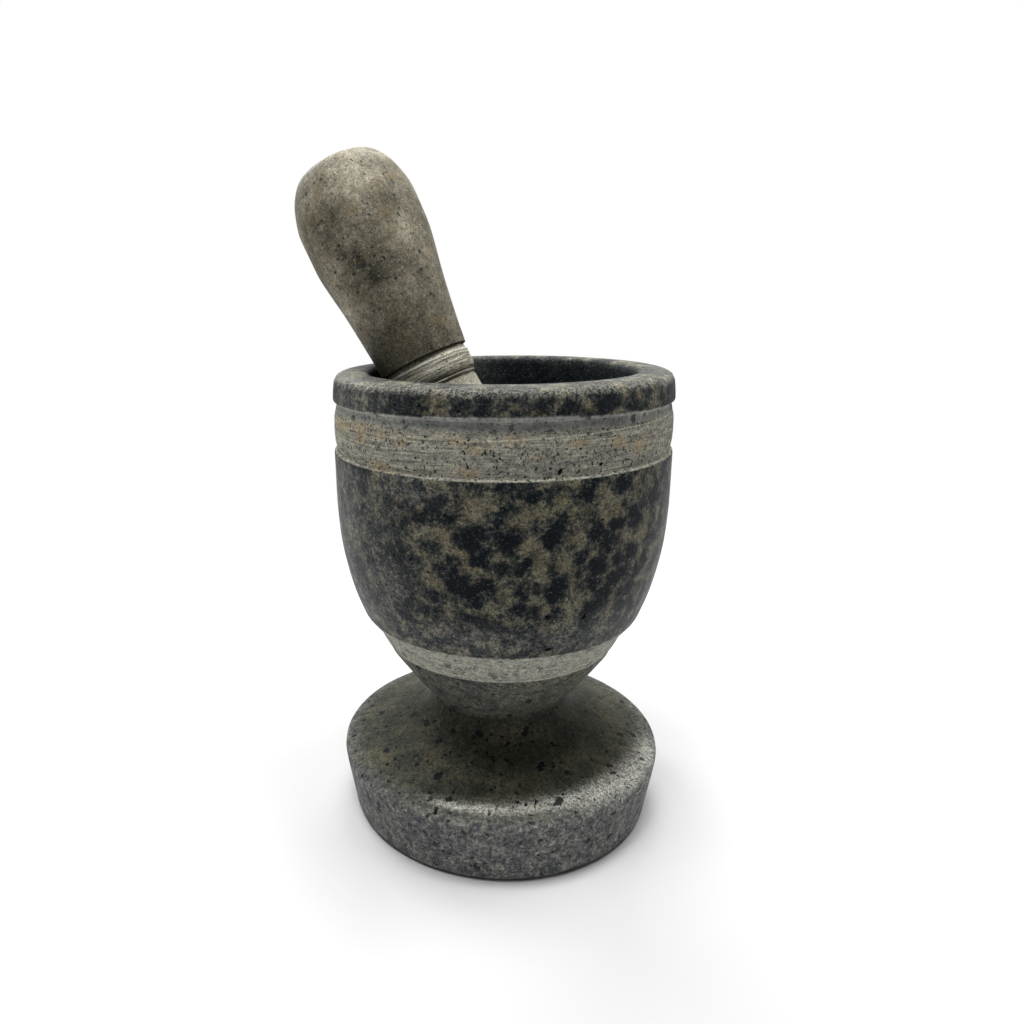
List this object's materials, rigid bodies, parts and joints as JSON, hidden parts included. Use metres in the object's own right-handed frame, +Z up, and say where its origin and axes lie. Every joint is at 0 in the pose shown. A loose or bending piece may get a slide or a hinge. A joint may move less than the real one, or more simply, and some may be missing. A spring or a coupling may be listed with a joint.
{
  "type": "mortar and pestle",
  "caption": "Turned stone mortar with a deep round bowl on a waisted foot, and a loose turned pestle leaning in it.",
  "frame": {"origin": "centre of the mortar's flat underside, on the surface that it stands on", "axes": "+Z up the mortar's turning axis, towards its mouth; the pestle's top leans towards -X and a little towards +Y"},
  "size_m": [0.1162, 0.1058, 0.2077],
  "materials": {
    "mortar_stone": "satin",
    "pestle_stone": "matte"
  },
  "bodies": {
    "mortar": {"mortar": "mortar_stone"},
    "pestle": {"pestle": "pestle_stone"}
  },
  "joints": [
    {"name": "pestle_lift", "type": "slide", "parent": "mortar", "child": "pestle", "axis": [0, 0, 1], "range_m": [0, 0.16]}
  ]
}
